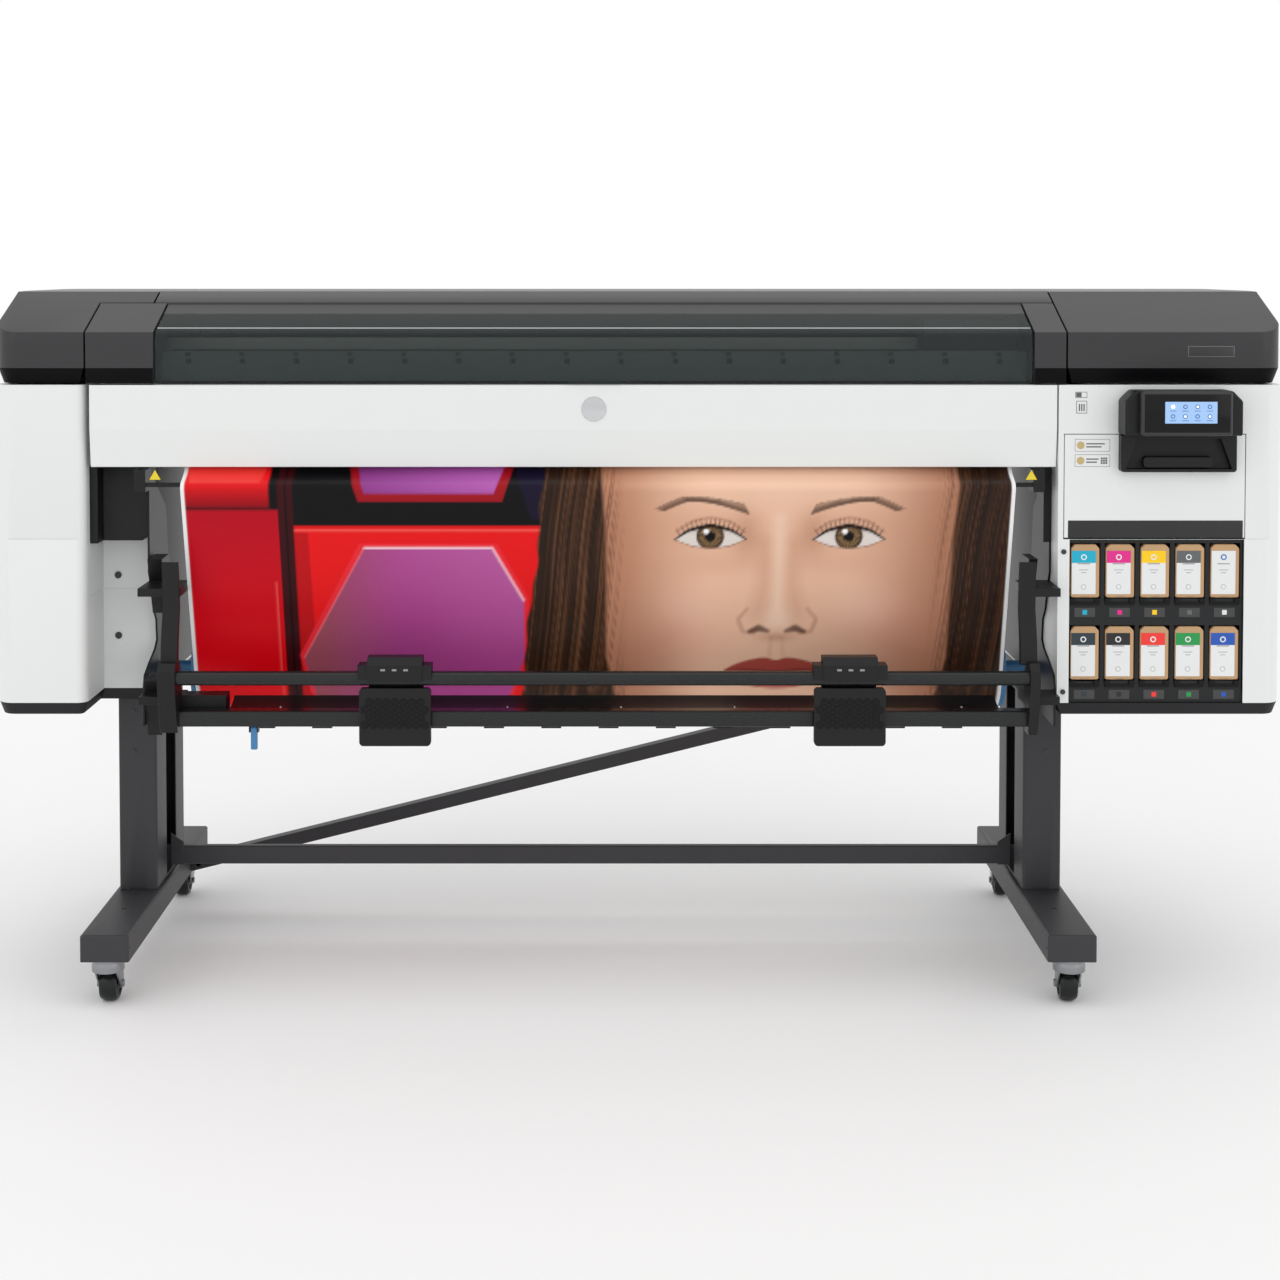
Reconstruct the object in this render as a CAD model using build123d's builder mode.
from build123d import *
import math
import os

os.makedirs("parts", exist_ok=True)

# Wide roll printer with a built-in cutter, on a stand with four castors.
# Millimetres, +Z up, front towards -Y, origin on the floor under the middle of the machine.

# Overall sizes: the roll decides the width, with an end of fixed width on each side of it
media_width = 1626.0
left_end_width = 370.0
right_end_width = 528.0
stand_depth = 750.0
body_front = -270.0
body_rear = 293.0
cover_top = 1374.0
body_left = -(left_end_width + media_width + right_end_width) / 2
body_right = -body_left
media_left = body_left + left_end_width
media_right = body_right - right_end_width
media_centre = (media_left + media_right) / 2

# Walls and clearances
shell_wall = 3.0
steel_wall = 3.0
panel_gap = 3.0
running_gap = 0.05
free_gap = 0.5

# Stand
castor_height = 90.0
castor_inset = 31.0
foot_width = 94.0
foot_height = 52.0
foot_corner = 5.0
foot_hole_y = -217.0
foot_hole_radius = 5.0
foot_side_holes = ((-327.0, 134.0), (-363.0, 114.5))
foot_side_hole_radius = 2.5
foot_screw_inset = 28.0
foot_screw_radius = 3.0
castor_plate = 56.0
castor_plate_thickness = 6.0
post_width = 78.0
post_depth = 256.0
post_front = -94.0
post_gap_width = 90.0
post_gap_centre = 38.0
post_plate = 5.0
post_slot_width = 32.0
post_slot_height = 4.0
post_slot_depth = 2.0
post_bolt_radius = 4.5
post_bolt_out = 7.5
post_bolt_heights = (428.5, 511.0)
left_post_x = body_left + 236.0
right_post_x = body_right - 430.0
beam_height = 39.0
beam_depth = 20.0
beam_rise = 14.0
beam_offset = 6.0
gusset_length = 27.0
gusset_toe = 10.0
brace_section = 28.0
brace_front = 198.0
brace_low_z = 105.0
brace_high_z = 545.7
brace_hole_inset = 15.0
brace_foot_margin = 2.0
brace_head_low = 500.0
brace_head_high = 575.0
brace_head_front = 140.0
bolt_radius = 6.0
bolt_head = 4.0
fastener_head = 2.0
plug_x = body_left + 209.0
plug_radius = 7.0
plug_heights = (799.0, 676.0)
bay_screw_radius = 5.0
bay_screw_heights = (866.0, 590.0)

# Castors
wheel_radius = 32.0
wheel_width = 34.0
wheel_trail = 20.0
wheel_edge = 5.0
axle_radius = 4.0
stem_radius = 6.0
stem_length = 16.0
race_radius = 29.0
race_thickness = 8.0
fork_leg = 3.0
fork_gap = 2.0
fork_back = 19.0
fork_front = 26.0
fork_axle_front = 14.0
fork_axle_back = 8.0
fork_tip_drop = 11.0
left_castor_angle = 0.0
right_castor_angle = -4.0

# Body casings
pod_bottom = 568.0
pod_top = 1193.0
tray_bottom = 544.0
tray_taper = 20.0
seat_height = 3.0
pod_corner = 35.0
pod_chamfer = 20.0
rear_corner = 20.0
left_pod_inner = body_left + 179.0
left_wall_inner = body_left + 287.0
recess_front = -132.0
right_wall_inner = body_right - 441.0
inlet_x = body_left + 102.0
inlet_z = 640.0
inlet_width = 48.0
inlet_height = 28.0
inlet_recess = 20.0
seam_depth = 1.2
seam_width = 2.0
low_seam_z = 771.0
high_seam_z = 890.0

# Dark covers on top
cover_bottom = pod_top + seat_height
belt_height = 30.0
belt_taper = 20.0
cover_front_height = 100.0
slope_run = 177.0
cover_corner = 48.0
left_cover_inner = body_left + 179.0
left_cover_rear_inner = body_left + 287.0
right_cover_inner = body_right - 424.0
window_left = body_left + 317.0
window_right = body_right - 491.0
window_run = 84.0
hinge_land = 44.0
hinge_step = 3.0
window_wall = 4.0
window_bend = 14.0
window_side_gap = 2.0
window_tab = 106.0
window_tab_x = media_centre - 8.0
window_tab_depth = 6.0
window_tab_height = 8.0

# Front panel
panel_left = body_left + 189.0
panel_right = body_right - 444.0
panel_bottom = 1031.6
panel_top = 1193.0
panel_crease = 1106.0
panel_set_back = 8.0
panel_return = 30.0
panel_low_return = 12.0

# Right pod front
bay_left = body_right - 418.0
bay_right = body_right - 76.0
bay_top = 890.0
bay_depth = 140.0
bay_set_back = 6.0
door_left = body_right - 429.0
door_bottom = 892.0
door_top = 1096.0
door_gap = 1.5
door_wall = 4.0
handle_left = body_right - 324.0
handle_right = body_right - 99.0
handle_bottom = 1024.5
handle_corner = 6.0
handle_depth = 22.0
handle_wall = 6.0
pocket_top_inset = 31.0
pocket_low_inset = 9.0
grip_left = body_right - 280.5
grip_right = body_right - 145.0
grip_bottom = 1034.0
grip_height = 20.0
housing_left = body_right - 325.5
housing_right = body_right - 98.5
housing_bottom = 1098.0
housing_top = 1185.0
housing_depth = 20.0
display_left = body_right - 300.0
display_right = body_right - 124.0
display_bottom = 1099.0
display_top = 1186.0
display_depth = 20.0
display_pivot_radius = 6.0

# Ink cartridges, two rows of five
cartridge_columns = 5
cartridge_first_x = body_right - 386.0
cartridge_pitch = 68.5
cartridge_width = 56.0
cartridge_height = 105.0
cartridge_length = 128.0
cartridge_rows = (775.0, 613.0)
cartridge_corner = 4.0
cartridge_gap = 2.0
cartridge_front_gap = 2.0

# Print engine
platen_top = 1160.0
platen_depth = 150.0
platen_front = -126.0
platen_thickness = 30.0
roller_radius = 12.0
roller_y = -146.0
pinch_front = -215.0
pinch_depth = 18.0
pinch_bottom = 1192.0
pinch_top = 1257.0
pinch_segment = 214.0
pinch_notch = 10.0
rail_y = -96.0
rail_z = 1268.0
rail_width = 30.0
rail_height = 24.0
carriage_length = 190.0
carriage_depth = 116.0
carriage_bottom = 1172.0
carriage_top = 1318.0
carriage_park_gap = 12.0
cutter_length = 42.0
cutter_depth = 26.0
cutter_setback = 21.0
cutter_bottom = 1150.0
cutter_height = 34.0
cutter_blade_radius = 10.0
beam_front = -60.0
beam_rear = 200.0
beam_bottom = 1040.0
beam_top = 1128.0
back_cover_bottom = 1020.0

# Printed media, seen from the side, and the roll that takes it up
sheet_thickness = 0.8
sheet_exit = (-243.0, 1029.0)
sheet_bulge = (-289.0, 989.0)
roll_radius = 80.0
roll_y = -83.0
roll_z = 600.0
sheet_roll_gap = 1.0
sheet_lean_angle = 17.4
sheet_end_pull = 0.2
core_radius = 38.0
spindle_radius = 15.0
hub_radius = 78.0
hub_thickness = 10.0

# Output side frames, rod and beam
side_plate = 4.0
housing_low = 877.0
housing_depth = 58.0
housing_lip_width = 16.0
housing_lip_depth = 102.0
housing_chamfer = 15.0
right_housing_width = 16.0
right_housing_depth = 80.0
right_housing_back = 18.0
left_arm_width = 29.0
right_arm_width = 17.0
right_arm_gap = 27.0
bracket_start = 49.0
left_bracket = 34.0
right_bracket = 19.0
guard_width = 32.0
strap_thickness = 16.0
high_strap_z = 782.0
low_strap_z = 570.0
rod_radius = 14.0
rod_y = -332.0
rod_z = 630.0
low_beam_front = -321.0
low_beam_depth = 34.0
low_beam_bottom = 532.0
low_beam_height = 31.0
guide_thickness = 3.0
guide_end_gap = 22.0
guide_bend = 34.0
guide_drop = 10.0
guide_rear = -196.0
guide_rear_z = 566.0
rib_width = 39.0
rib_pitch = 112.0
rib_drop = 10.0
output_rail_z = 992.0
output_rail_height = 8.0
rail_end_inner = 9.0
rail_end_right_inner = 47.0
rail_end_width = 23.0
rail_end_front = -262.0
rail_end_rear = -210.0
rail_tongue_front = -230.0
rail_end_low = 982.0
rail_end_high = 1026.0
output_rail_y = -256.0
output_rail_depth = 8.0
drive_box_length = 86.0
drive_box_height = 55.0
drive_box_depth = 40.0
lever_x = body_left + 514.0
lever_width = 12.0
lever_length = 40.0
lever_radius = 6.0
lever_pin = 2.5
lever_ear = 3.0
block_centres = (media_centre - 391.0, media_centre + 486.0)
block_hood_width = 106.0
block_front = 20.0
block_back = 24.0
block_lip = 4.0
block_crown = 14.0
block_skirt = 30.0
block_hollow = 18.0
block_wall = 14.0
block_strap_drop = 18.0
block_ear_height = 28.0
block_plate_corner = 8.0
block_ear_width = 18.0
block_plate_width = 138.0
block_top = 672.0
block_bottom = 500.0
block_plate_front = -342.0
block_plate_thickness = 14.0

# Worked-out sizes
foot_top = castor_height + foot_height
castor_y = stand_depth / 2 - castor_inset
post_height = tray_bottom - foot_top
beam_low = foot_top + beam_rise
slope_rise = cover_top - 1.0 - cover_bottom - cover_front_height
slope = slope_rise / slope_run
bend_z = cover_bottom + cover_front_height
window_rear = body_front + window_run
rear_cover_front = window_rear + hinge_land
column_left = bay_right + 2.0


def save(builder, name):
    """Label a finished piece and write it as one STEP file."""
    builder.part.label = name
    export_step(builder.part, "parts/" + name + ".step")


def block(x_low, x_high, y_low, y_high, z_low, z_high, mode=Mode.ADD):
    """Straight block between two corners, for the piece being built."""
    with BuildSketch(Plane.XY.offset(z_low)) as outline:
        with Locations(((x_low + x_high) / 2, (y_low + y_high) / 2)):
            Rectangle(x_high - x_low, y_high - y_low)
    extrude(outline.sketch, amount=z_high - z_low, mode=mode)


def side_profile(points, x_low, x_high, mode=Mode.ADD):
    """Closed outline of (y, z) points, drawn from the side and pulled from x_low to x_high."""
    with BuildSketch(Plane.YZ.offset(x_low)) as outline:
        Polygon(*points, align=None)
    extrude(outline.sketch, amount=x_high - x_low, mode=mode)


def bar_along_x(x_low, x_high, y, z, radius, mode=Mode.ADD):
    """Round bar or bore along X."""
    with BuildSketch(Plane.YZ.offset(x_low)) as outline:
        with Locations((y, z)):
            Circle(radius)
    extrude(outline.sketch, amount=x_high - x_low, mode=mode)


# ---------------------------------------------------------------- stand


def make_foot(name, x, inward):
    """Folded steel foot, open below, with a plate for a castor stem at each end."""
    with BuildPart() as foot:
        block(x - foot_width / 2, x + foot_width / 2, -stand_depth / 2, stand_depth / 2,
              castor_height, foot_top)
        fillet(foot.edges().filter_by(Axis.Z), foot_corner)
        fillet(foot.faces().sort_by(Axis.Z)[-1].edges(), foot_corner)
        inner = foot_width / 2 - steel_wall
        end = stand_depth / 2 - steel_wall
        block(x - inner, x + inner, -end, end, castor_height, foot_top - steel_wall, Mode.SUBTRACT)
        for side in (-1, 1):
            low = side * castor_y - castor_plate / 2
            block(x - inner, x + inner, low, low + castor_plate, castor_height,
                  castor_height + castor_plate_thickness)
        with BuildSketch(Plane.XY.offset(castor_height)):
            with Locations((x, -castor_y), (x, castor_y)):
                Circle(stem_radius + running_gap)
        extrude(amount=castor_plate_thickness, mode=Mode.SUBTRACT)
        with BuildSketch(Plane.XY.offset(foot_top - steel_wall)):
            with Locations((x, foot_hole_y)):
                Circle(foot_hole_radius)
        extrude(amount=steel_wall, mode=Mode.SUBTRACT)
        for hole_y, hole_z in foot_side_holes:
            side_x = min(x + inward * inner, x + inward * foot_width / 2)
            bar_along_x(side_x, side_x + steel_wall, hole_y, hole_z, foot_side_hole_radius, Mode.SUBTRACT)
    save(foot, name)


def make_post(name, x, inward):
    """Folded C-section post with return lips, its gap facing the middle of the stand."""
    middle = post_front + post_depth / 2
    with BuildPart() as post:
        with BuildSketch(Plane.XY.offset(foot_top)):
            with Locations((x, middle)):
                RectangleRounded(post_width, post_depth, foot_corner)
        extrude(amount=post_height)
        with BuildSketch(Plane.XY.offset(foot_top + post_plate)):
            with Locations((x, middle)):
                Rectangle(post_width - 2 * steel_wall, post_depth - 2 * steel_wall)
        extrude(amount=post_height - 2 * post_plate, mode=Mode.SUBTRACT)
        with BuildSketch(Plane.XY.offset(foot_top + post_plate)):
            with Locations((x + inward * (post_width - steel_wall) / 2, post_gap_centre)):
                Rectangle(2 * steel_wall, post_gap_width)
        extrude(amount=post_height - 2 * post_plate, mode=Mode.SUBTRACT)
        block(x - post_slot_width / 2, x + post_slot_width / 2, post_front - 1, post_front + post_slot_depth,
              foot_top, foot_top + post_slot_height, Mode.SUBTRACT)
    save(post, name)


make_foot("foot_left", left_post_x, 1)
make_foot("foot_right", right_post_x, -1)
make_post("post_left", left_post_x, 1)
make_post("post_right", right_post_x, -1)

# Square tube between the posts: it passes through both gaps and butts on the far webs.
beam_start = left_post_x - post_width / 2 + steel_wall
beam_end = right_post_x + post_width / 2 - steel_wall
beam_y = post_gap_centre + beam_offset
with BuildPart() as cross_beam:
    with BuildSketch(Plane.YZ.offset(beam_start)):
        with Locations((beam_y, beam_low + beam_height / 2)):
            RectangleRounded(beam_depth, beam_height, foot_corner)
            Rectangle(beam_depth - 2 * steel_wall, beam_height - 2 * steel_wall, mode=Mode.SUBTRACT)
    extrude(amount=beam_end - beam_start)
    left_lip = left_post_x + post_width / 2
    right_lip = right_post_x - post_width / 2
    for lip, way in ((left_lip, 1), (right_lip, -1)):
        with BuildSketch(Plane.XZ.offset(-(beam_y - beam_depth / 2))):
            with BuildLine():
                Polyline(
                    (lip, foot_top + beam_rise),
                    (lip + way * gusset_length, foot_top + beam_rise),
                    (lip + way * gusset_length, beam_low + beam_height + gusset_toe),
                    (lip, beam_low + beam_height + 2 * beam_rise),
                    close=True,
                )
            make_face()
        extrude(amount=steel_wall)
save(cross_beam, "cross_beam")

# Diagonal tube brace behind the posts, between end plates on the left foot and on the right
# post's head.
brace_x0 = left_post_x + foot_width / 2
brace_x1 = right_post_x - post_width / 2
brace_turn = math.atan2(brace_high_z - brace_low_z, brace_x1 - brace_x0)
brace_rear = brace_front + brace_section


def brace_bar(half, y_low, y_high, mode=Mode.ADD):
    """Straight bar along the brace's centre line, cut upright at both ends."""
    rise = half / math.cos(brace_turn)
    with BuildSketch(Plane.XZ.offset(-y_high)) as outline:
        Polygon(
            (brace_x0, brace_low_z - rise),
            (brace_x1, brace_high_z - rise),
            (brace_x1, brace_high_z + rise),
            (brace_x0, brace_low_z + rise),
            align=None,
        )
    extrude(outline.sketch, amount=y_high - y_low, mode=mode)


with BuildPart() as diagonal_brace:
    brace_bar(brace_section / 2, brace_front, brace_rear)
    brace_bar(brace_section / 2 - steel_wall, brace_front + steel_wall, brace_rear - steel_wall, Mode.SUBTRACT)
    block(brace_x0, brace_x0 + steel_wall, brace_front, brace_rear,
          castor_height + brace_foot_margin, foot_top - brace_foot_margin)
    block(brace_x1 - steel_wall, brace_x1, brace_head_front, brace_rear, brace_head_low, brace_head_high)
    with BuildSketch(Plane.XZ.offset(-brace_rear)):
        with Locations((brace_x0 + brace_hole_inset, brace_low_z)):
            Circle(bolt_radius)
    extrude(amount=brace_section, mode=Mode.SUBTRACT)
save(diagonal_brace, "diagonal_brace")

# ---------------------------------------------------------------- castors


def make_castor(corner, x, y, angle, trail_way):
    """Swivel castor: a fork on its stem and race, and a wheel on the fork's axle bolt."""
    turn = math.radians(angle)
    local = Plane(origin=(x, y, 0), x_dir=(math.cos(turn), math.sin(turn), 0), z_dir=(0, 0, 1))
    side = Plane(
        origin=(x, y, 0),
        x_dir=(-math.sin(turn), math.cos(turn), 0),
        z_dir=(math.cos(turn), math.sin(turn), 0),
    )
    axle_y = trail_way * wheel_trail
    outer = wheel_width / 2 + fork_gap + fork_leg
    bridge = 2 * wheel_radius + fork_leg
    race_bottom = castor_height - free_gap - race_thickness
    with BuildPart() as fork:
        with BuildSketch(local.offset(race_bottom)):
            Circle(race_radius)
        extrude(amount=race_thickness)
        with BuildSketch(local.offset(castor_height - free_gap)):
            Circle(stem_radius)
        extrude(amount=stem_length)
        with BuildSketch(side.offset(-outer)):
            with BuildLine():
                Polyline(
                    (-trail_way * fork_back, race_bottom),
                    (trail_way * fork_front, race_bottom),
                    (axle_y + trail_way * fork_axle_front, wheel_radius),
                    (axle_y + trail_way * fork_axle_back / 2, wheel_radius - fork_tip_drop),
                    (axle_y - trail_way * fork_axle_back, wheel_radius - fork_tip_drop / 2),
                    (-trail_way * fork_back, bridge),
                    close=True,
                )
            make_face()
        extrude(amount=2 * outer)
        with BuildSketch(side.offset(fork_leg - outer)):
            with Locations((0, bridge / 2)):
                Rectangle(6 * wheel_radius, bridge)
        extrude(amount=2 * (outer - fork_leg), mode=Mode.SUBTRACT)
        with BuildSketch(side.offset(-outer - bolt_head)):
            with Locations((axle_y, wheel_radius)):
                RegularPolygon(axle_radius * 1.8, 6)
        extrude(amount=bolt_head)
        with BuildSketch(side.offset(outer)):
            with Locations((axle_y, wheel_radius)):
                RegularPolygon(axle_radius * 1.8, 6)
        extrude(amount=bolt_head)
        with BuildSketch(side.offset(-outer)):
            with Locations((axle_y, wheel_radius)):
                Circle(axle_radius)
        extrude(amount=2 * outer)
    save(fork, "castor_fork_" + corner)
    with BuildPart() as wheel:
        with BuildSketch(side.offset(-wheel_width / 2)):
            with Locations((axle_y, wheel_radius)):
                Circle(wheel_radius)
        extrude(amount=wheel_width)
        fillet(wheel.edges().filter_by(GeomType.CIRCLE), wheel_edge)
        with BuildSketch(side.offset(-wheel_width / 2)):
            with Locations((axle_y, wheel_radius)):
                Circle(axle_radius + running_gap)
        extrude(amount=wheel_width, mode=Mode.SUBTRACT)
    save(wheel, "castor_wheel_" + corner)


make_castor("front_left", left_post_x, -castor_y, left_castor_angle, 1)
make_castor("front_right", right_post_x, -castor_y, right_castor_angle, 1)
make_castor("rear_left", left_post_x, castor_y, left_castor_angle, -1)
make_castor("rear_right", right_post_x, castor_y, right_castor_angle, -1)

# ---------------------------------------------------------------- pods


def draw_plan(sketch, points, rounded, inset=0.0):
    """Plan outline drawn inset all round; rounded lists each corner to round as (x, y, radius)."""
    Polygon(*points, align=None)
    for x, y, radius in rounded:
        corners = sketch.vertices().sort_by(lambda vertex: math.hypot(vertex.X - x, vertex.Y - y))
        fillet(corners[0], radius)
    if inset:
        offset(amount=-inset, kind=Kind.INTERSECTION, mode=Mode.REPLACE)


left_plan = (
    (body_left, body_front),
    (left_pod_inner, body_front),
    (left_pod_inner, recess_front),
    (left_wall_inner, recess_front),
    (left_wall_inner, body_rear),
    (body_left, body_rear),
)
right_plan = (
    (right_wall_inner, body_front),
    (body_right, body_front),
    (body_right, body_rear),
    (right_wall_inner, body_rear),
)


left_corners = (
    (body_left, body_front, pod_corner),
    (body_left, body_rear, rear_corner),
    (left_pod_inner, body_front, pod_chamfer),
)
right_corners = (
    (body_right, body_front, pod_corner),
    (body_right, body_rear, rear_corner),
)

# Left pod: outer casing of the media and electronics end, with the recess wall beside the media.
with BuildPart() as left_pod_shell:
    with BuildSketch(Plane.XY.offset(pod_bottom)) as outer:
        draw_plan(outer, left_plan, left_corners)
    extrude(amount=pod_top - pod_bottom)
    with BuildSketch(Plane.XY.offset(pod_bottom)) as inner:
        draw_plan(inner, left_plan, left_corners, shell_wall)
    extrude(amount=pod_top - pod_bottom - shell_wall, mode=Mode.SUBTRACT)
    block(body_left - 1, left_pod_inner + 1, body_front - 1, body_front + seam_depth,
          high_seam_z, high_seam_z + seam_width, Mode.SUBTRACT)
    block(left_pod_inner - seam_depth, left_wall_inner, body_front, recess_front + seam_depth,
          low_seam_z, low_seam_z + seam_width, Mode.SUBTRACT)
    block(body_left + cover_corner, left_wall_inner - seam_width, recess_front + cover_corner,
          body_rear - cover_corner, pod_top, pod_top + seat_height)
    inlet_front = body_rear - inlet_recess
    block(inlet_x - inlet_width / 2 - shell_wall, inlet_x + inlet_width / 2 + shell_wall,
          inlet_front - shell_wall, body_rear - shell_wall,
          inlet_z - inlet_height / 2 - shell_wall, inlet_z + inlet_height / 2 + shell_wall)
    block(inlet_x - inlet_width / 2, inlet_x + inlet_width / 2, inlet_front, body_rear,
          inlet_z - inlet_height / 2, inlet_z + inlet_height / 2, Mode.SUBTRACT)
save(left_pod_shell, "left_pod_shell")

# Right pod: casing of the ink and service end, open at the ink bay and behind the service door.
with BuildPart() as right_pod_shell:
    with BuildSketch(Plane.XY.offset(pod_bottom)) as outer:
        draw_plan(outer, right_plan, right_corners)
    extrude(amount=pod_top - pod_bottom)
    with BuildSketch(Plane.XY.offset(pod_bottom)) as inner:
        draw_plan(inner, right_plan, right_corners, shell_wall)
    extrude(amount=pod_top - pod_bottom - shell_wall, mode=Mode.SUBTRACT)
    front_cut = body_front + 2 * pod_chamfer
    block(bay_left, bay_right, body_front - 1, front_cut, pod_bottom, bay_top, Mode.SUBTRACT)
    block(door_left - door_gap, bay_right + door_gap, body_front - 1, front_cut,
          door_bottom - door_gap, door_top + door_gap, Mode.SUBTRACT)
    block(column_left, body_right + 1, body_front - 1, body_front + seam_depth,
          high_seam_z, high_seam_z + seam_width, Mode.SUBTRACT)
    block(right_cover_inner + cover_corner, body_right - cover_corner, body_front + cover_corner,
          body_rear - cover_corner, pod_top, pod_top + seat_height)
save(right_pod_shell, "right_pod_shell")

# Black trays that close both pods from below.
with BuildPart() as pod_trays:
    for plan, rounded in ((left_plan, left_corners), (right_plan, right_corners)):
        with BuildSketch(Plane.XY.offset(pod_bottom)) as rim:
            draw_plan(rim, plan, rounded)
        extrude(amount=tray_bottom - pod_bottom, taper=tray_taper)
        with BuildSketch(Plane.XY.offset(tray_bottom + shell_wall)) as well:
            draw_plan(well, plan, rounded, pod_chamfer / 2 + shell_wall)
        extrude(amount=pod_bottom - tray_bottom, mode=Mode.SUBTRACT)
save(pod_trays, "pod_trays")

# ---------------------------------------------------------------- dark top covers


def cover_profile(front, inset, low):
    """Side outline of the top covers from the given front edge to the rear."""
    lift = inset * math.hypot(1, slope)
    front_z = bend_z + (front - body_front) * slope
    points = [(front + inset, low), (front + inset, front_z - lift + inset * slope)]
    if front + inset < body_front + slope_run - inset:
        points.append((body_front + slope_run, bend_z + slope_rise - lift))
    points.append((body_front + slope_run + cover_corner, cover_top - inset))
    points.append((body_rear - inset, cover_top - inset))
    points.append((body_rear - inset, low))
    return points


def make_cover(name, plan, front, rounded):
    """Vacuum-formed top cover: straight front, sloped brow, flat top, and a tapered black belt below."""
    x_low = min(point[0] for point in plan)
    x_high = max(point[0] for point in plan)
    belt_top = cover_bottom + belt_height
    with BuildPart() as hollow:
        with BuildSketch(Plane.XY.offset(belt_top)) as inner_plan:
            draw_plan(inner_plan, plan, rounded, shell_wall)
        extrude(amount=cover_top - belt_top)
        side_profile(cover_profile(front, shell_wall, belt_top), x_low, x_high, Mode.INTERSECT)
    belt_inset = belt_height * math.tan(math.radians(belt_taper)) + shell_wall
    with BuildPart() as cover:
        with BuildSketch(Plane.XY.offset(belt_top)) as outer_plan:
            draw_plan(outer_plan, plan, rounded)
        extrude(amount=cover_top - belt_top)
        side_profile(cover_profile(front, 0, belt_top), x_low, x_high, Mode.INTERSECT)
        add(hollow.part, mode=Mode.SUBTRACT)
        with BuildSketch(Plane.XY.offset(belt_top)) as belt_plan:
            draw_plan(belt_plan, plan, rounded)
        extrude(amount=-belt_height, taper=belt_taper)
        with BuildSketch(Plane.XY.offset(cover_bottom)) as belt_inner:
            draw_plan(belt_inner, plan, rounded, belt_inset)
        extrude(amount=belt_height, mode=Mode.SUBTRACT)
    save(cover, name)


left_cover_plan = (
    (body_left, body_front),
    (left_cover_inner, body_front),
    (left_cover_inner, rear_cover_front),
    (left_cover_rear_inner, rear_cover_front),
    (left_cover_rear_inner, body_rear),
    (body_left, body_rear),
)
right_cover_plan = (
    (right_cover_inner, body_front),
    (body_right, body_front),
    (body_right, body_rear),
    (right_cover_inner, body_rear),
)
make_cover("left_top_cover", left_cover_plan, body_front,
           ((body_left, body_front, cover_corner), (body_left, body_rear, cover_corner)))
make_cover("right_top_cover", right_cover_plan, body_front,
           ((body_right, body_front, cover_corner), (body_right, body_rear, cover_corner)))


def slope_z(y):
    """Height of the sloped brow of the covers at a given y."""
    return bend_z + (y - body_front) * slope


# Rear top cover with the stepped land that carries the window's hinge.
rear_left = left_cover_rear_inner + panel_gap
rear_right = right_cover_inner - panel_gap
with BuildPart() as rear_top_cover:
    side_profile(cover_profile(rear_cover_front, 0, cover_bottom), rear_left, rear_right)
    side_profile(cover_profile(rear_cover_front, shell_wall, cover_bottom - 1), rear_left + shell_wall,
                 rear_right - shell_wall, Mode.SUBTRACT)
    block(rear_left + shell_wall, rear_right - shell_wall, rear_cover_front - 1,
          rear_cover_front + 2 * shell_wall,
          cover_bottom - 1, slope_z(rear_cover_front) - 20.0, Mode.SUBTRACT)
    side_profile(
        (
            (window_rear + free_gap, slope_z(window_rear) - hinge_step),
            (rear_cover_front + shell_wall, slope_z(rear_cover_front + shell_wall) - hinge_step),
            (rear_cover_front + shell_wall, slope_z(rear_cover_front) - hinge_step - 2 * shell_wall),
            (window_rear + free_gap, slope_z(window_rear) - hinge_step - shell_wall),
        ),
        window_left,
        window_right,
    )
save(rear_top_cover, "rear_top_cover")


def make_inner_cover(name, x_low, x_high):
    """Small dark cover beside the window, following the same side outline."""
    rear = rear_cover_front - panel_gap
    with BuildPart() as cover:
        side_profile(
            ((body_front, cover_bottom), (body_front, bend_z), (rear, slope_z(rear)), (rear, cover_bottom)),
            x_low, x_high)
        side_profile(
            (
                (body_front + shell_wall, cover_bottom - 1),
                (body_front + shell_wall, bend_z - shell_wall),
                (rear - shell_wall, slope_z(rear) - 2 * shell_wall),
                (rear - shell_wall, cover_bottom - 1),
            ),
            x_low + shell_wall, x_high - shell_wall, Mode.SUBTRACT)
        fillet(cover.edges().filter_by(Axis.X).sort_by(Axis.Z)[-3:-2], shell_wall / 2)
    save(cover, name)


make_inner_cover("left_inner_cover", left_cover_inner + panel_gap, window_left - window_side_gap)
make_inner_cover("right_inner_cover", window_right + window_side_gap, right_cover_inner - panel_gap)

# Clear window: straight front, bent back to its hinge, with a finger tab at the lower edge.
pane_low = cover_bottom + free_gap
with BuildPart() as window:
    with BuildSketch(Plane.YZ.offset(window_left + window_side_gap)):
        with BuildLine():
            FilletPolyline(
                (body_front + window_wall / 2, pane_low),
                (body_front + window_wall / 2, slope_z(body_front + window_wall / 2) - window_wall / 2),
                (window_rear - window_wall / 2, slope_z(window_rear - window_wall / 2) - window_wall / 2),
                radius=window_bend,
            )
        trace(line_width=window_wall)
    extrude(amount=window_right - window_left - 2 * window_side_gap)
    block(window_tab_x - window_tab / 2, window_tab_x + window_tab / 2,
          body_front - window_tab_depth, body_front,
          pane_low, pane_low + window_tab_height)
save(window, "window")

# ---------------------------------------------------------------- front panel and back

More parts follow.
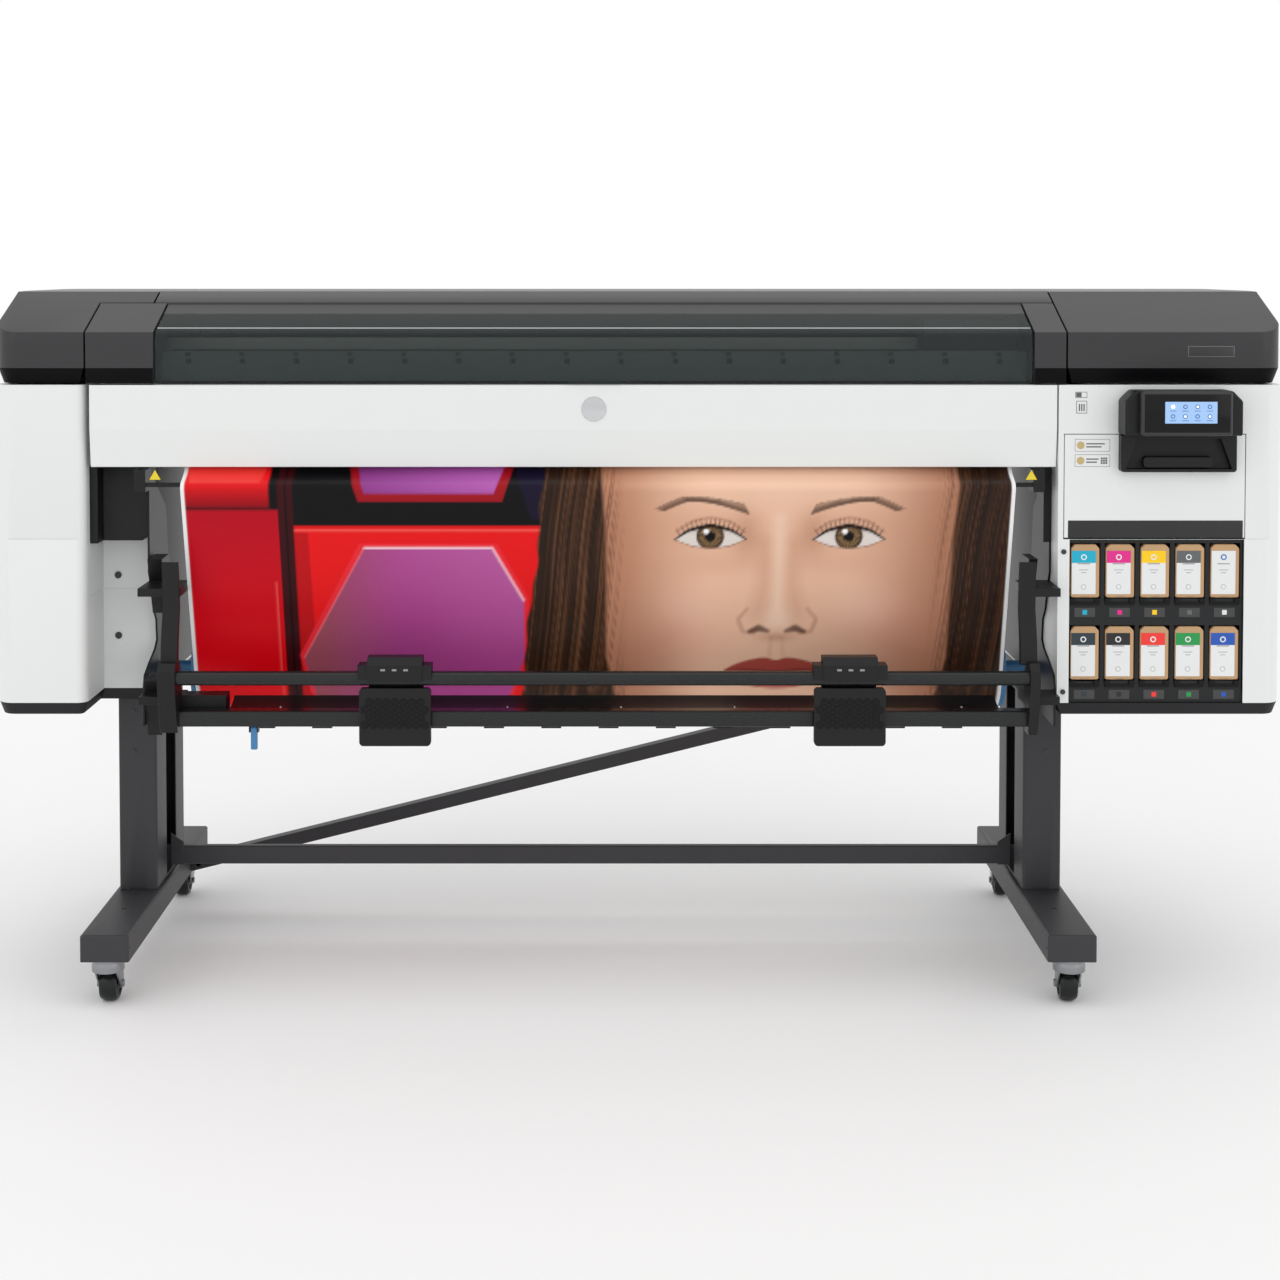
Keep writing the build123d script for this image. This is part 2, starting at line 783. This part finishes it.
with BuildPart() as front_panel:
    lower_front = body_front + panel_set_back
    side_profile(
        (
            (body_front, panel_crease),
            (body_front, panel_top),
            (body_front + panel_return, panel_top),
            (body_front + panel_return, panel_top - shell_wall),
            (body_front + shell_wall, panel_top - shell_wall),
            (body_front + shell_wall, panel_crease),
            (lower_front + shell_wall, panel_bottom + shell_wall),
            (lower_front + panel_low_return, panel_bottom + shell_wall),
            (lower_front + panel_low_return, panel_bottom),
            (lower_front, panel_bottom),
        ),
        panel_left,
        panel_right,
    )
save(front_panel, "front_panel")

with BuildPart() as back_cover:
    block(left_wall_inner, right_wall_inner, body_rear - shell_wall, body_rear, back_cover_bottom, pod_top)
    block(left_wall_inner, right_wall_inner, beam_rear, body_rear, back_cover_bottom,
          back_cover_bottom + shell_wall)
save(back_cover, "back_cover")

# Main beam: box section that ties the two ends together and carries the print engine.
with BuildPart() as main_beam:
    with BuildSketch(Plane.YZ.offset(left_wall_inner)):
        with Locations(((beam_front + beam_rear) / 2, (beam_bottom + beam_top) / 2)):
            Rectangle(beam_rear - beam_front, beam_top - beam_bottom)
            Rectangle(beam_rear - beam_front - 2 * steel_wall, beam_top - beam_bottom - 2 * steel_wall,
                      mode=Mode.SUBTRACT)
    extrude(amount=right_wall_inner - left_wall_inner)
save(main_beam, "main_beam")

# ---------------------------------------------------------------- service door, control panel

door_front = body_front
door_low = door_bottom + door_gap
with BuildPart() as service_door:
    block(door_left, bay_right, door_front, door_front + door_wall, door_low, door_top)
save(service_door, "service_door")

# Handle pocket on the door, with a grip bar across it.
handle_front = door_front - handle_depth
with BuildPart() as door_handle:
    with BuildSketch(Plane.XZ.offset(-door_front)):
        with Locations(((handle_left + handle_right) / 2, (handle_bottom + door_top) / 2)):
            Rectangle(handle_right - handle_left, door_top - handle_bottom)
    extrude(amount=handle_depth)
    fillet(door_handle.edges().filter_by(Axis.Y).sort_by(Axis.Z)[:2], handle_corner)
    with BuildSketch(Plane.XZ.offset(-handle_front)):
        Polygon(
            (handle_left + pocket_top_inset, door_top - handle_wall),
            (handle_left + pocket_low_inset, handle_bottom + handle_wall),
            (handle_right - pocket_low_inset, handle_bottom + handle_wall),
            (handle_right - pocket_top_inset, door_top - handle_wall),
            align=None,
        )
    extrude(amount=handle_wall - handle_depth, mode=Mode.SUBTRACT)
    with BuildSketch(Plane.XZ.offset(-handle_front)):
        with Locations(((grip_left + grip_right) / 2, grip_bottom + grip_height / 2)):
            RectangleRounded(grip_right - grip_left, grip_height, grip_height / 3)
    extrude(amount=-handle_depth)
save(door_handle, "door_handle")

housing_front = body_front - housing_depth
with BuildPart() as control_housing:
    with BuildSketch(Plane.XZ.offset(-body_front)):
        with BuildLine():
            Polyline(
                (housing_left, housing_bottom),
                (housing_right, housing_bottom),
                (housing_right, housing_top - display_depth),
                (housing_right - display_depth, housing_top),
                (housing_left + display_depth, housing_top),
                (housing_left, housing_top - display_depth),
                close=True,
            )
        make_face()
    extrude(amount=housing_depth)
save(control_housing, "control_housing")

# Display module: hinged along its upper rear edge, which is rounded about the pivot.
display_rear = housing_front - free_gap
with BuildPart() as display_module:
    block(display_left, display_right, display_rear - display_depth, display_rear, display_bottom, display_top)
    back_top = display_module.edges().filter_by(Axis.X).group_by(Axis.Z)[-1].sort_by(Axis.Y)[-1]
    fillet(back_top, display_pivot_radius - running_gap)
save(display_module, "display_module")

# ---------------------------------------------------------------- ink bay and cartridges

bay_front = body_front + bay_set_back
bay_rear = bay_front + bay_depth
cartridge_front = bay_front - cartridge_front_gap


def cartridge_x(column):
    """Centre of a column of cartridges."""
    return cartridge_first_x + column * cartridge_pitch


with BuildPart() as ink_bay_frame:
    block(bay_left + free_gap, bay_right - free_gap, bay_front, bay_rear, pod_bottom, bay_top - free_gap)
    for row in cartridge_rows:
        for column in range(cartridge_columns):
            half = cartridge_width / 2 + cartridge_gap
            middle = cartridge_x(column)
            block(middle - half, middle + half, bay_front, cartridge_front + cartridge_length + cartridge_gap,
                  row - cartridge_gap, row + cartridge_height + cartridge_gap, Mode.SUBTRACT)
        block(bay_left + 4 * shell_wall, bay_right - 4 * shell_wall, bay_front + shell_wall, bay_rear,
              row - 10 * shell_wall, row - cartridge_gap - shell_wall, Mode.SUBTRACT)
save(ink_bay_frame, "ink_bay_frame")

number = 0
for row in cartridge_rows:
    for column in range(cartridge_columns):
        number += 1
        middle = cartridge_x(column)
        with BuildPart() as cartridge:
            block(middle - cartridge_width / 2, middle + cartridge_width / 2, cartridge_front,
                  cartridge_front + cartridge_length, row, row + cartridge_height)
            chamfer(cartridge.edges().filter_by(Axis.Y).group_by(Axis.Z)[-1], 2 * cartridge_corner)
            fillet(cartridge.edges().filter_by(Axis.Y).group_by(Axis.Z)[0], cartridge_corner)
        save(cartridge, "ink_cartridge_" + str(number))

# ---------------------------------------------------------------- print engine

engine_left = media_left - 10.0
engine_right = media_right + 10.0
with BuildPart() as platen:
    block(engine_left, engine_right, platen_front, platen_front + platen_depth,
          platen_top - platen_thickness, platen_top)
    block(engine_left + shell_wall, engine_right - shell_wall, platen_front + shell_wall,
          platen_front + platen_depth - shell_wall, platen_top - platen_thickness, platen_top - shell_wall,
          Mode.SUBTRACT)
    block(engine_left, engine_left + shell_wall, beam_front, platen_front + platen_depth, beam_top,
          platen_top - platen_thickness)
    block(engine_right - shell_wall, engine_right, beam_front, platen_front + platen_depth, beam_top,
          platen_top - platen_thickness)
save(platen, "platen")

with BuildPart() as drive_roller:
    bar_along_x(engine_left, engine_right, roller_y, platen_top - roller_radius, roller_radius)
save(drive_roller, "drive_roller")

# Covers over the pinch rollers, in equal segments with small notches.
with BuildPart() as pinch_covers:
    block(window_left + window_side_gap, window_right - window_side_gap, pinch_front,
          pinch_front + pinch_depth,
          pinch_bottom, pinch_top)
    half_segments = int((window_right - window_left) / (pinch_segment / 2))
    for index in range(half_segments):
        middle = window_left + (index + 0.5) * pinch_segment / 2
        block(middle - pinch_notch / 2, middle + pinch_notch / 2, pinch_front, pinch_front + shell_wall,
              pinch_top - pinch_notch, pinch_top, Mode.SUBTRACT)
    block(window_left + window_side_gap, window_right - window_side_gap, pinch_front + shell_wall,
          pinch_front + pinch_depth, pinch_bottom, pinch_top - shell_wall, Mode.SUBTRACT)
save(pinch_covers, "pinch_covers")

with BuildPart() as carriage_rail:
    rail_left = rear_left + 2 * shell_wall
    rail_right = right_wall_inner - panel_gap
    block(rail_left, rail_right, rail_y - rail_width / 2, rail_y + rail_width / 2,
          rail_z - rail_height / 2, rail_z + rail_height / 2)
    for x_low in (rail_left, rail_right - side_plate):
        block(x_low, x_low + side_plate, rail_y - rail_width / 2, beam_front + rail_width, beam_top,
              rail_z - rail_height / 2)
save(carriage_rail, "carriage_rail")

carriage_right = window_right - carriage_park_gap
carriage_left = carriage_right - carriage_length
with BuildPart() as carriage:
    block(carriage_left, carriage_right, rail_y - carriage_depth + rail_width, rail_y + rail_width,
          carriage_bottom, carriage_top)
    block(carriage_left - 1, carriage_right + 1, rail_y - rail_width / 2 - free_gap,
          rail_y + rail_width / 2 + free_gap, rail_z - rail_height / 2 - free_gap,
          rail_z + rail_height / 2 + free_gap, Mode.SUBTRACT)
save(carriage, "carriage")

# Cutter: small carrier with a round blade, parked at the left end just behind the front panel.
cutter_left = media_left - cutter_length - 4.0
cutter_y = body_front + panel_return - cutter_depth / 2 + cutter_setback
with BuildPart() as cutter:
    block(cutter_left, cutter_left + cutter_length, cutter_y - cutter_depth / 2, cutter_y + cutter_depth / 2,
          cutter_bottom, cutter_bottom + cutter_height)
    bar_along_x(cutter_left + cutter_length, cutter_left + cutter_length + 2.0, cutter_y,
                cutter_bottom + cutter_blade_radius, cutter_blade_radius)
save(cutter, "cutter")

# ---------------------------------------------------------------- media

sheet_lean = math.radians(sheet_lean_angle)
tangent_radius = roll_radius + sheet_roll_gap + sheet_thickness / 2
sheet_end = (
    roll_y - tangent_radius * math.cos(sheet_lean),
    roll_z - tangent_radius * math.sin(sheet_lean),
)
with BuildPart() as printed_media:
    with BuildSketch(Plane.YZ.offset(media_left)):
        with BuildLine():
            Spline(
                (roller_y, platen_top + 2.0),
                (roller_y - 38.0, platen_top - 14.0),
                (sheet_exit[0] + 12.0, sheet_exit[1] + 60.0),
                sheet_exit,
                (sheet_bulge[0] + 9.0, sheet_bulge[1] + 16.0),
                sheet_bulge,
                tangents=((-1, 0), (math.sin(sheet_lean) * sheet_end_pull, -1)),
            )
            Line(sheet_bulge, sheet_end)
        trace(line_width=sheet_thickness)
    extrude(amount=media_width)
save(printed_media, "printed_media")

with BuildPart() as media_roll:
    bar_along_x(media_left, media_right, roll_y, roll_z, roll_radius)
    bar_along_x(media_left, media_right, roll_y, roll_z, core_radius, Mode.SUBTRACT)
save(media_roll, "media_roll")

with BuildPart() as spindle:
    bar_along_x(left_wall_inner + free_gap, right_wall_inner - free_gap, roll_y, roll_z, spindle_radius)
    for x_low in (media_left - hub_thickness, media_right):
        bar_along_x(x_low, x_low + hub_thickness, roll_y, roll_z, hub_radius)
    for x_low in (media_left, media_right - 5 * hub_thickness):
        bar_along_x(x_low, x_low + 5 * hub_thickness, roll_y, roll_z, core_radius)
save(spindle, "spindle")

# ---------------------------------------------------------------- output frame

# Outlines of the side frames' parts, as (y, z) points.
plate_points = (
    (-210.0, 1018.0),
    (-196.0, 1018.0),
    (-60.0, 930.0),
    (-30.0, 760.0),
    (-30.0, 552.0),
    (post_front - 6.0, tray_bottom + 4.0),
    (post_front - 16.0, 524.0),
    (-210.0, 520.0),
    (-261.0, 520.0),
    (-261.0, 597.0),
    (-252.0, 620.0),
    (-210.0, 638.0),
    (-162.0, 655.0),
    (-144.0, 670.0),
    (-150.0, 712.0),
    (-173.0, 736.0),
    (-191.0, 784.0),
    (-210.0, 816.0),
)
high_arm_points = ((-232.0, 846.0), (-187.0, 731.0), (-150.0, 731.0), (-160.0, 846.0))
low_arm_points = ((-271.0, 612.0), (-238.0, 497.0), (-198.0, 497.0), (-208.0, 612.0))
guard_points = (
    (-300.0, 700.0),
    (-286.0, 760.0),
    (-292.0, 820.0),
    (-298.0, 850.0),
    (-303.0, 850.0),
    (-298.0, 760.0),
    (-316.0, 700.0),
    (-322.0, 655.0),
    (-305.0, 650.0),
)
bracket_points = (
    (-340.0, 660.0),
    (-310.0, 660.0),
    (-294.0, 640.0),
    (-284.0, 590.0),
    (-284.0, 535.0),
    (-300.0, 518.0),
    (-326.0, 522.0),
    (-340.0, 560.0),
    (-352.0, 620.0),
    (-352.0, 645.0),
)
strap_front = -298.0
high_strap_rear = -190.0
low_strap_rear = -230.0


def make_side_plate(name, wall_x, inward, arm_gap, arm_width, bracket_width):
    """Side frame of the media output: plate, two leaning arms, edge guard and rod bracket."""
    low_x = min(wall_x, wall_x + inward * side_plate)
    arm_x = wall_x + inward * (side_plate + arm_gap)
    arm_low = min(arm_x, arm_x + inward * arm_width)
    bracket_x = wall_x + inward * bracket_start
    bracket_low = min(bracket_x, bracket_x + inward * bracket_width)
    guard_low = min(bracket_x, bracket_x + inward * guard_width)
    strap_low = min(wall_x, bracket_x + inward * bracket_width)
    strap_high = max(wall_x, bracket_x + inward * bracket_width)
    with BuildPart() as frame:
        side_profile(plate_points, low_x, low_x + side_plate)
        side_profile(high_arm_points, arm_low, arm_low + arm_width)
        side_profile(low_arm_points, arm_low, arm_low + arm_width)
        side_profile(guard_points, guard_low, guard_low + guard_width)
        side_profile(bracket_points, bracket_low, bracket_low + bracket_width)
        block(strap_low, strap_high, strap_front, high_strap_rear, high_strap_z,
              high_strap_z + strap_thickness)
        block(strap_low, strap_high, strap_front, low_strap_rear, low_strap_z, low_strap_z + strap_thickness)
        if inward > 0:
            with BuildSketch(Plane.XZ.offset(-recess_front)) as housing:
                Polygon(
                    (left_pod_inner, housing_low),
                    (wall_x - housing_chamfer, housing_low),
                    (wall_x, housing_low + housing_chamfer),
                    (wall_x, panel_bottom - free_gap),
                    (left_pod_inner, panel_bottom - free_gap),
                    align=None,
                )
            extrude(housing.sketch, amount=housing_depth)
            block(left_pod_inner, left_pod_inner + housing_lip_width, recess_front - housing_lip_depth,
                  recess_front, housing_low, panel_bottom - free_gap)
        else:
            block(wall_x - right_housing_width, wall_x, recess_front - right_housing_depth,
                  recess_front - right_housing_back, housing_low, panel_bottom - free_gap)
        bar_along_x(low_x, low_x + side_plate, roll_y, roll_z, spindle_radius + running_gap, Mode.SUBTRACT)
    save(frame, name)


make_side_plate("left_side_plate", left_wall_inner, 1, 0.0, left_arm_width, left_bracket)
make_side_plate("right_side_plate", right_wall_inner, -1, right_arm_gap, right_arm_width, right_bracket)

rod_left = left_wall_inner + bracket_start + left_bracket
rod_right = right_wall_inner - bracket_start - right_bracket
with BuildPart() as upper_rod:
    bar_along_x(rod_left, rod_right, rod_y, rod_z, rod_radius)
save(upper_rod, "upper_rod")

low_beam_rear = low_beam_front + low_beam_depth
low_beam_top = low_beam_bottom + low_beam_height
lever_y = low_beam_front + low_beam_depth / 2
lever_pivot_z = low_beam_bottom - lever_radius - 1.0
with BuildPart() as lower_beam:
    with BuildSketch(Plane.YZ.offset(rod_left)):
        with Locations(((low_beam_front + low_beam_rear) / 2, (low_beam_bottom + low_beam_top) / 2)):
            RectangleRounded(low_beam_depth, low_beam_height, foot_corner)
            Rectangle(low_beam_depth - 2 * shell_wall, low_beam_height - 2 * shell_wall, mode=Mode.SUBTRACT)
    extrude(amount=rod_right - rod_left)
    for x_low in (lever_x - lever_width / 2 - free_gap - lever_ear, lever_x + lever_width / 2 + free_gap):
        block(x_low, x_low + lever_ear, lever_y - lever_radius, lever_y + lever_radius,
              lever_pivot_z - lever_radius, low_beam_bottom)
    bar_along_x(lever_x - lever_width / 2 - free_gap - lever_ear,
                lever_x + lever_width / 2 + free_gap + lever_ear, lever_y, lever_pivot_z, lever_pin)
save(lower_beam, "lower_beam")

with BuildPart() as roll_lever:
    with BuildSketch(Plane.YZ.offset(lever_x - lever_width / 2)):
        with Locations((lever_y, lever_pivot_z)):
            Circle(lever_radius)
        with Locations((lever_y, lever_pivot_z - lever_length / 2)):
            Rectangle(2 * lever_radius, lever_length)
    extrude(amount=lever_width)
    fillet(roll_lever.edges().filter_by(Axis.X).group_by(Axis.Z)[0], lever_radius / 2)
    bar_along_x(lever_x - lever_width / 2, lever_x + lever_width / 2, lever_y, lever_pivot_z,
                lever_pin + running_gap, Mode.SUBTRACT)
save(roll_lever, "roll_lever")

# Ribbed guide that leads the sheet into the roll, with rib ends hooked under the beam,
# and the drive box of the roll beside it.
guide_left = media_left + drive_box_length
guide_right = media_right - guide_end_gap
with BuildPart() as roll_guide:
    with BuildSketch(Plane.YZ.offset(guide_left)):
        with BuildLine():
            Spline(
                (low_beam_rear + free_gap, low_beam_top - guide_thickness),
                (low_beam_rear + guide_bend, low_beam_top - guide_drop),
                (guide_rear, guide_rear_z),
            )
        trace(line_width=guide_thickness)
    extrude(amount=guide_right - guide_left)
    rib_count = int((guide_right - guide_left) / rib_pitch)
    for index in range(rib_count):
        rib_x = guide_left + (index + 0.5) * rib_pitch
        block(rib_x, rib_x + rib_width, low_beam_rear, low_beam_rear + 4 * guide_thickness,
              low_beam_bottom - rib_drop, low_beam_top - 3 * guide_thickness)
    block(rod_left, guide_left, low_beam_rear, low_beam_rear + drive_box_depth, low_beam_bottom,
          low_beam_bottom + drive_box_height)
save(roll_guide, "roll_guide")

with BuildPart() as output_rail:
    rail_end_left = left_wall_inner + rail_end_inner
    rail_end_right = right_wall_inner - rail_end_right_inner
    block(rail_end_left, rail_end_right, output_rail_y - output_rail_depth / 2,
          output_rail_y + output_rail_depth / 2, output_rail_z, output_rail_z + output_rail_height)
    block(rail_end_left - rail_end_width, rail_end_left, rail_end_front, rail_end_rear,
          rail_end_low, rail_end_high)
    block(rail_end_left - rail_end_width, left_wall_inner, rail_end_rear, recess_front - housing_depth,
          rail_end_low, rail_end_high)
    block(rail_end_right, rail_end_right + rail_end_width, rail_end_front, rail_end_rear,
          rail_end_low, rail_end_high)
    block(rail_end_right + rail_end_width, right_wall_inner - right_housing_width, rail_tongue_front,
          rail_end_rear, rail_end_low, rail_end_high)
save(output_rail, "output_rail")


def make_rest_block(name, x):
    """Rest block on the rod: a hood with two ears that clasps the rod, and a hanging pad plate."""
    hood = block_hood_width / 2
    ear = hood + block_ear_width
    plate_rear = block_plate_front + block_plate_thickness
    strap_top = rod_z - block_strap_drop
    with BuildPart() as rest:
        side_profile(
            (
                (rod_y - block_front, rod_z - block_lip),
                (rod_y - block_front, block_top - block_crown),
                (rod_y - block_crown / 2, block_top),
                (rod_y + block_front, block_top),
                (rod_y + block_back, block_top - block_lip),
                (rod_y + block_back, rod_z - block_skirt),
                (block_plate_front, rod_z - block_skirt),
                (block_plate_front, rod_z - block_hollow),
                (rod_y + block_wall, rod_z - block_hollow),
                (rod_y + block_wall, rod_z - block_lip),
            ),
            x - hood, x + hood)
        for x_low in (x - ear, x + hood):
            side_profile(
                (
                    (rod_y - block_hollow, rod_z),
                    (rod_y - block_hollow, rod_z + block_ear_height),
                    (rod_y + block_front, rod_z + block_ear_height),
                    (rod_y + block_front, rod_z),
                ),
                x_low, x_low + block_ear_width)
        with BuildSketch(Plane.XZ.offset(-plate_rear)):
            with Locations((x, (block_bottom + strap_top) / 2)):
                RectangleRounded(block_plate_width, strap_top - block_bottom, block_plate_corner)
        extrude(amount=block_plate_thickness)
        bar_along_x(x - ear - 1, x + ear + 1, rod_y, rod_z, rod_radius + 6 * running_gap, Mode.SUBTRACT)
    save(rest, name)


make_rest_block("rest_block_left", block_centres[0])
make_rest_block("rest_block_right", block_centres[1])

# ---------------------------------------------------------------- fasteners and plugs

with BuildPart() as fasteners:
    for x, way in ((left_post_x, -1), (right_post_x, 1)):
        for z in post_bolt_heights:
            with BuildSketch(Plane.XZ.offset(-post_front)):
                with Locations((x + way * post_bolt_out, z)):
                    Circle(post_bolt_radius)
            extrude(amount=fastener_head)
        with BuildSketch(Plane.XY.offset(foot_top)):
            with Locations((x, post_front - foot_screw_inset)):
                Circle(foot_screw_radius)
        extrude(amount=fastener_head)
    for z in plug_heights:
        with BuildSketch(Plane.XZ.offset(-recess_front)):
            with Locations((plug_x, z)):
                Circle(plug_radius)
        extrude(amount=fastener_head)
    for z in bay_screw_heights:
        with BuildSketch(Plane.XZ.offset(-body_front)):
            with Locations(((right_wall_inner + bay_left) / 2, z)):
                Circle(bay_screw_radius)
        extrude(amount=fastener_head)
save(fasteners, "fasteners")
